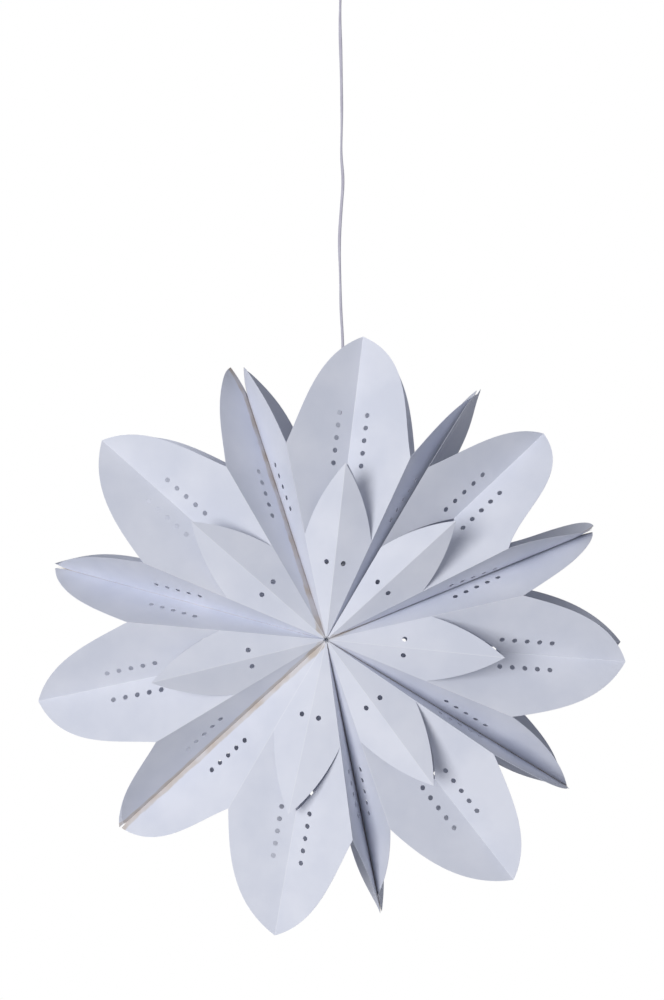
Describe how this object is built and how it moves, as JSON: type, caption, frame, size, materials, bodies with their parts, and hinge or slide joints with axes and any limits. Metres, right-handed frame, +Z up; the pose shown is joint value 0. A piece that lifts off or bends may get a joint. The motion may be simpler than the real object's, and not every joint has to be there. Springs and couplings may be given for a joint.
{
  "type": "pendant lamp",
  "caption": "Pendant lamp with a folded paper star of glued bags round a lamp holder and bulb, hung on a thin twin cord under a ceiling canopy.",
  "frame": {"origin": "on the ceiling, at the centre of the ceiling plate's upper face, straight above the cord", "axes": "+Z up out of the ceiling plate, the front of the star faces -Y, +X to the right as seen from the front"},
  "size_m": [0.7519, 0.3272, 1.2875],
  "materials": {
    "star_paper": "matte white card, cool lavender tone",
    "adhesive": "dried yellow-brown paper glue",
    "rivets": "white plastic snap rivets",
    "bar_steel": "white painted steel strip",
    "zinc_steel": "bright zinc-plated steel",
    "holder_plastic": "white moulded thermoset plastic",
    "ceramic_insert": "glazed white steatite",
    "contact_brass": "plain stamped brass",
    "bulb_cap_metal": "rolled aluminium screw cap",
    "solder": "dull tin solder over black glass",
    "bulb_housing": "white plastic collar",
    "opal_glass": "opal white glass",
    "cord_pvc": "white flexible PVC, slightly greyed",
    "clamp_plastic": "white nylon",
    "core_insulation": "coloured core insulation",
    "canopy_plastic": "white moulded plastic"
  },
  "bodies": {
    "ceiling_fitting": {"ceiling_plate": "bar_steel", "hanger_strap": "zinc_steel", "cord_clamp": "clamp_plastic", "clamp_screw": "zinc_steel", "terminal_block": "clamp_plastic", "terminal_screws": "zinc_steel", "core_wires": "core_insulation"},
    "canopy": {"canopy_cup": "canopy_plastic"},
    "cord": {"cord": "cord_pvc"},
    "star": {"paper_bag_1": "star_paper", "paper_bag_2": "star_paper", "paper_bag_3": "star_paper", "paper_bag_4": "star_paper", "paper_bag_5": "star_paper", "paper_bag_6": "star_paper", "paper_bag_7": "star_paper", "glue_bands": "adhesive", "closing_rivet_pins": "rivets", "closing_rivet_caps": "rivets", "carrier_bar": "bar_steel", "threaded_nipple": "zinc_steel", "nipple_nut": "zinc_steel", "cord_grip": "holder_plastic", "grip_screw": "clamp_plastic", "holder_cap": "holder_plastic", "holder_shell": "holder_plastic", "contact_insert": "ceramic_insert", "contact_screws": "zinc_steel", "thread_shell": "contact_brass", "centre_contact": "contact_brass", "side_contact": "contact_brass"},
    "shade_ring": {"shade_ring": "holder_plastic"},
    "bulb_tip": {"bulb_tip": "solder"},
    "bulb": {"bulb_cap": "bulb_cap_metal", "bulb_collar": "bulb_housing", "bulb_globe": "opal_glass"}
  },
  "joints": [
    {"name": "canopy_slide", "type": "slide", "parent": "ceiling_fitting", "child": "canopy", "axis": [0, 0, -1], "range_m": [0, 0.025]},
    {"name": "pendant_swing", "type": "hinge", "parent": "ceiling_fitting", "child": "cord", "pos_m": [0, 0, -0.03], "axis": [0, 1, 0], "range_deg": [-6, 6]},
    {"name": "star_turn", "type": "hinge", "parent": "cord", "child": "star", "pos_m": [0, 0, -0.802], "axis": [0, 0, 1], "range_deg": [-180, 180]},
    {"name": "ring_slide", "type": "slide", "parent": "star", "child": "shade_ring", "axis": [0, 0, -1], "range_m": [0, 0.009]},
    {"name": "bulb_travel", "type": "slide", "parent": "star", "child": "bulb_tip", "axis": [0, 0, -1], "range_m": [0, 0.0141]},
    {"name": "bulb_turn", "type": "hinge", "parent": "bulb_tip", "child": "bulb", "pos_m": [0, 0, -0.9], "axis": [0, 0, -1], "range_deg": [0, 1800]}
  ],
  "couplings": [
    {"joint": "bulb_turn", "follows": "bulb_travel", "rad_per_m": 2228.1}
  ]
}
